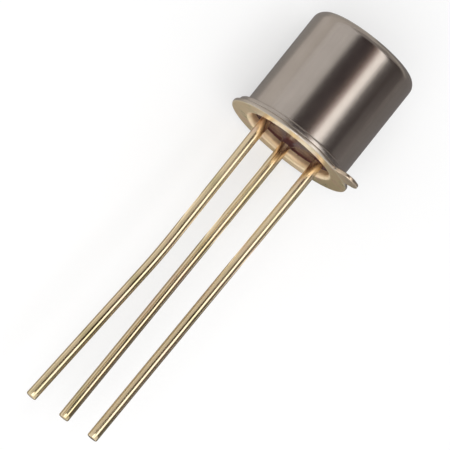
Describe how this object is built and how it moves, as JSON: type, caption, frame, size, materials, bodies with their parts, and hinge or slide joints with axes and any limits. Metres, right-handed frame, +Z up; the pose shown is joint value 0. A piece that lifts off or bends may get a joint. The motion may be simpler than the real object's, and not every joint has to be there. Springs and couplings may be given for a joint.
{
  "type": "bipolar transistor",
  "caption": "Small metal-can transistor lying on its side: nickel can on a gold-plated header with an index tab, a dark glass seal and long wire leads.",
  "frame": {"origin": "middle of the object's box, on the surface that it lies on", "axes": "+X along the object towards the can's top, +Z up; the can's axis dips 5.2 degrees below +X"},
  "size_m": [0.0187, 0.0054, 0.0055],
  "materials": {
    "nickel": "satin, fine grain",
    "gold_plate": "thin gold plating, semi-bright",
    "seal_glass": "dark brown, glossy",
    "gold_solder": "soft gold",
    "silicon": "polished silicon"
  },
  "bodies": {
    "root": {"can": "nickel", "header": "gold_plate", "glass_seal": "seal_glass", "emitter_lead": "gold_plate", "base_lead": "gold_plate", "collector_lead": "gold_plate", "die_solder": "gold_solder", "chip": "silicon", "emitter_wire": "gold_solder", "base_wire": "gold_solder"}
  },
  "joints": []
}
